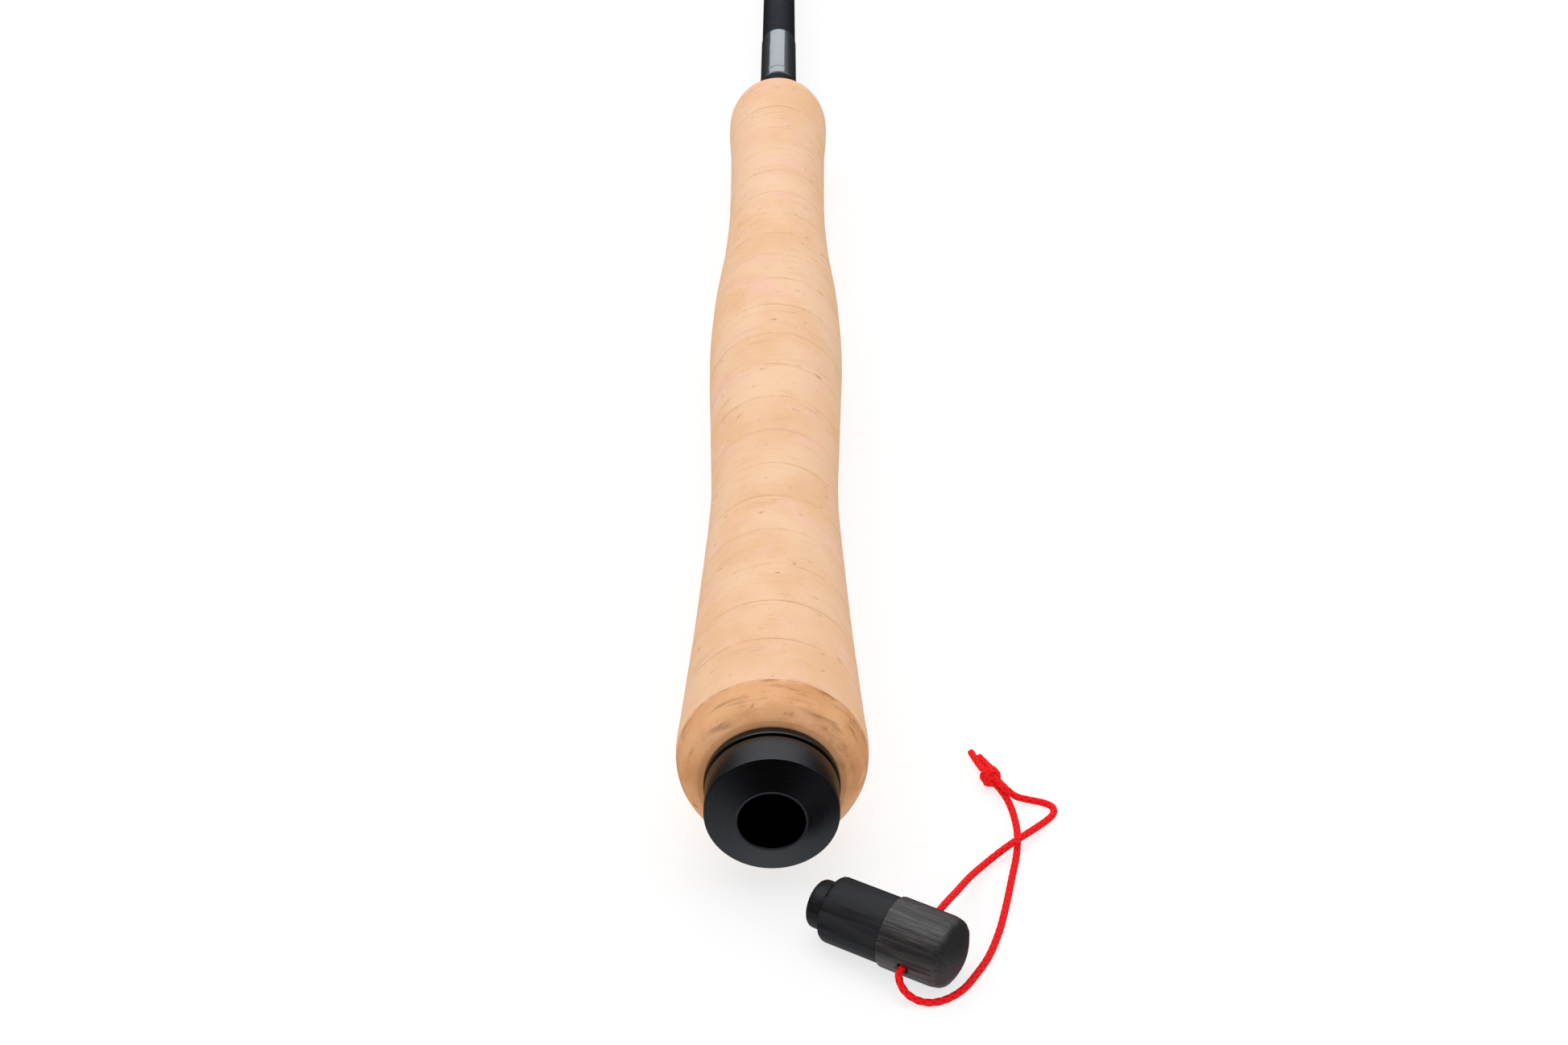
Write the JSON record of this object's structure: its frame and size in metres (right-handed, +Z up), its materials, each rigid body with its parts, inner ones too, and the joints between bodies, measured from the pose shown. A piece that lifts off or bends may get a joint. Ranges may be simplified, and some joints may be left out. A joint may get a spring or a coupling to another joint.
{
  "type": "telescopic fishing rod",
  "caption": "Telescopic fixed-line fishing rod, closed for carrying: contoured cork grip, nested carbon sections, screw butt cap, and a tip plug on a cord loop lying beside it.",
  "frame": {"origin": "centre of the rod and its plug on the surface they lie on, without the plug's cord", "axes": "+Y along the rod from the butt cap to the mouth, +Z up, +X to the side that the plug lies on"},
  "size_m": [0.0634, 0.5707, 0.0314],
  "materials": {
    "cork": "natural cork, sanded",
    "burl_cork": "burl cork, sanded",
    "black_anodised": "black anodised, satin",
    "carbon": "black carbon fibre, clear gloss coat",
    "thread_wrap": "black thread under gloss epoxy",
    "black_rubber": "smooth, matt",
    "dark_wood": "dark stained, satin",
    "red_cord": "braided cover over elastic"
  },
  "bodies": {
    "handle": {"threaded_insert": "black_anodised", "cork_burl_ring": "burl_cork", "cork_ring_01": "cork", "cork_ring_02": "cork", "cork_ring_03": "cork", "cork_ring_04": "cork", "cork_ring_05": "cork", "cork_ring_06": "cork", "cork_ring_07": "cork", "cork_ring_08": "cork", "cork_ring_09": "cork", "cork_ring_10": "cork", "cork_ring_11": "cork", "cork_ring_12": "cork", "cork_ring_13": "cork", "cork_ring_14": "cork", "cork_ring_15": "cork", "cork_ring_16": "cork", "cork_ring_17": "cork", "cork_ring_18": "cork", "cork_ring_19": "cork", "cork_ring_20": "cork", "cork_ring_21": "cork", "cork_ring_22": "cork", "handle_blank": "carbon", "winding_check": "black_rubber", "thread_wrap": "thread_wrap"},
    "section_2": {"section_2": "carbon"},
    "section_3": {"section_3": "carbon"},
    "section_4": {"section_4": "carbon"},
    "section_5": {"section_5": "carbon"},
    "section_6": {"section_6": "carbon"},
    "section_7": {"section_7": "carbon"},
    "section_8": {"section_8": "carbon", "lillian_collar": "thread_wrap", "lillian": "red_cord"},
    "butt_bumper": {"butt_bumper": "black_rubber"},
    "butt_cap": {"butt_cap": "black_anodised", "cap_o_ring": "black_rubber"},
    "tip_plug": {"plug_head": "dark_wood", "plug_sleeve": "black_rubber", "lanyard_cord": "red_cord", "lanyard_knot": "red_cord", "lanyard_tail_long": "red_cord", "lanyard_tail_short": "red_cord"}
  },
  "joints": [
    {"name": "section_2_slide", "type": "slide", "parent": "handle", "child": "section_2", "axis": [0, 1, 0], "range_m": [0, 0.46]},
    {"name": "section_3_slide", "type": "slide", "parent": "section_2", "child": "section_3", "axis": [0, 1, 0], "range_m": [0, 0.46]},
    {"name": "section_4_slide", "type": "slide", "parent": "section_3", "child": "section_4", "axis": [0, 1, 0], "range_m": [0, 0.46]},
    {"name": "section_5_slide", "type": "slide", "parent": "section_4", "child": "section_5", "axis": [0, 1, 0], "range_m": [0, 0.46]},
    {"name": "section_6_slide", "type": "slide", "parent": "section_5", "child": "section_6", "axis": [0, 1, 0], "range_m": [0, 0.46]},
    {"name": "section_7_slide", "type": "slide", "parent": "section_6", "child": "section_7", "axis": [0, 1, 0], "range_m": [0, 0.46]},
    {"name": "section_8_slide", "type": "slide", "parent": "section_7", "child": "section_8", "axis": [0, 1, 0], "range_m": [0, 0.44]},
    {"name": "butt_cap_travel", "type": "slide", "parent": "handle", "child": "butt_bumper", "axis": [0, -1, 0], "range_m": [0, 0.006]},
    {"name": "butt_cap_turn", "type": "hinge", "parent": "butt_bumper", "child": "butt_cap", "pos_m": [-0.0075, -0.26, 0.0157], "axis": [0, -1, 0], "range_deg": [0, 2160]},
    {"name": "tip_plug_lift", "type": "slide", "parent": "handle", "child": "tip_plug", "axis": [0, 0, 1], "range_m": [0, 0.1]}
  ],
  "couplings": [
    {"joint": "butt_cap_turn", "follows": "butt_cap_travel", "rad_per_m": 6283.2}
  ]
}
